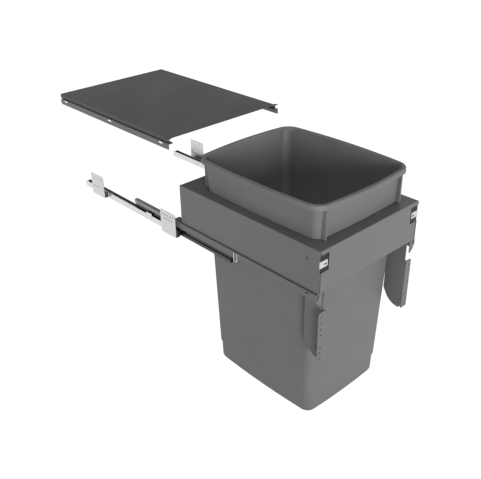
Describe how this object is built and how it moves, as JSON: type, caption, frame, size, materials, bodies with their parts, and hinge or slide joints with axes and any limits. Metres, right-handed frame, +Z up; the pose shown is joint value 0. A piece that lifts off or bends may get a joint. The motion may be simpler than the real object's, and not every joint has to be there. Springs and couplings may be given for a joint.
{
  "type": "pull-out bin frame",
  "caption": "Pull-out frame for a base cabinet: telescopic ball runners carry a sheet frame with a lift-out waste bucket, under a lid that stays in the cabinet.",
  "frame": {"origin": "midway between the cabinet sides, at the front ends and the underside of the cabinet rails", "axes": "+X to the right seen from the front, +Y to the back of the cabinet, +Z up; the frame is pulled out towards -Y"},
  "size_m": [0.37, 0.977, 0.6153],
  "materials": {
    "frame_paint": "fine satin powder coat, mid grey",
    "zinc": "galvanised sheet, satin",
    "dark_steel": "rolled steel, dark satin",
    "steel": "plated fastener steel",
    "ball_steel": "polished bearing steel",
    "cage_plastic": "natural moulded plastic",
    "black_plastic": "moulded black plastic",
    "buffer_rubber": "moulded rubber",
    "bucket_plastic": "fine grained moulded plastic, mid grey"
  },
  "bodies": {
    "cabinet_side": {"lid_panel": "frame_paint", "lid_rail_left": "frame_paint", "lid_rail_right": "frame_paint", "lid_rivets": "steel", "cabinet_rail_left": "zinc", "cabinet_rail_right": "zinc", "front_plate_left": "zinc", "front_plate_right": "zinc", "rear_plate_left": "zinc", "rear_plate_right": "zinc", "plate_rivets": "steel", "rail_buffer_left": "buffer_rubber", "rail_buffer_right": "buffer_rubber"},
    "pull_out": {"drawer_rail_left": "frame_paint", "drawer_rail_right": "frame_paint", "stop_clip_left": "zinc", "stop_clip_right": "zinc", "bin_frame": "frame_paint", "frame_rivets": "frame_paint", "adjuster_housing_left": "black_plastic", "adjuster_housing_right": "black_plastic", "front_bracket_left": "frame_paint", "front_bracket_right": "frame_paint", "bracket_screws": "steel"},
    "middle_left": {"middle_rail_left": "dark_steel"},
    "low_cage_left": {"lower_cage_left": "cage_plastic", "lower_balls_left": "ball_steel"},
    "top_cage_left": {"upper_cage_left": "cage_plastic", "upper_balls_left": "ball_steel"},
    "tab_left": {"adjuster_tab_left": "zinc"},
    "middle_right": {"middle_rail_right": "dark_steel"},
    "low_cage_right": {"lower_cage_right": "cage_plastic", "lower_balls_right": "ball_steel"},
    "top_cage_right": {"upper_cage_right": "cage_plastic", "upper_balls_right": "ball_steel"},
    "tab_right": {"adjuster_tab_right": "zinc"},
    "bucket_part": {"bucket": "bucket_plastic"}
  },
  "joints": [
    {"name": "frame_slide", "type": "slide", "parent": "cabinet_side", "child": "pull_out", "axis": [0, 1, 0], "range_m": [0, 0.47]},
    {"name": "middle_slide_left", "type": "slide", "parent": "cabinet_side", "child": "middle_left", "axis": [0, 1, 0], "range_m": [0, 0.235]},
    {"name": "low_cage_slide_left", "type": "slide", "parent": "cabinet_side", "child": "low_cage_left", "axis": [0, 1, 0], "range_m": [0, 0.1175]},
    {"name": "top_cage_slide_left", "type": "slide", "parent": "cabinet_side", "child": "top_cage_left", "axis": [0, 1, 0], "range_m": [0, 0.3525]},
    {"name": "middle_slide_right", "type": "slide", "parent": "cabinet_side", "child": "middle_right", "axis": [0, 1, 0], "range_m": [0, 0.235]},
    {"name": "low_cage_slide_right", "type": "slide", "parent": "cabinet_side", "child": "low_cage_right", "axis": [0, 1, 0], "range_m": [0, 0.1175]},
    {"name": "top_cage_slide_right", "type": "slide", "parent": "cabinet_side", "child": "top_cage_right", "axis": [0, 1, 0], "range_m": [0, 0.3525]},
    {"name": "bucket_lift", "type": "slide", "parent": "pull_out", "child": "bucket_part", "axis": [0, 0, 1], "range_m": [0, 0.025]},
    {"name": "tab_slide_left", "type": "slide", "parent": "pull_out", "child": "tab_left", "axis": [1, 0, 0], "range_m": [0, 0.003]},
    {"name": "tab_slide_right", "type": "slide", "parent": "pull_out", "child": "tab_right", "axis": [-1, 0, 0], "range_m": [0, 0.003]}
  ],
  "couplings": [
    {"joint": "middle_slide_left", "follows": "frame_slide", "ratio": 0.5},
    {"joint": "low_cage_slide_left", "follows": "frame_slide", "ratio": 0.25},
    {"joint": "top_cage_slide_left", "follows": "frame_slide", "ratio": 0.75},
    {"joint": "middle_slide_right", "follows": "frame_slide", "ratio": 0.5},
    {"joint": "low_cage_slide_right", "follows": "frame_slide", "ratio": 0.25},
    {"joint": "top_cage_slide_right", "follows": "frame_slide", "ratio": 0.75}
  ]
}
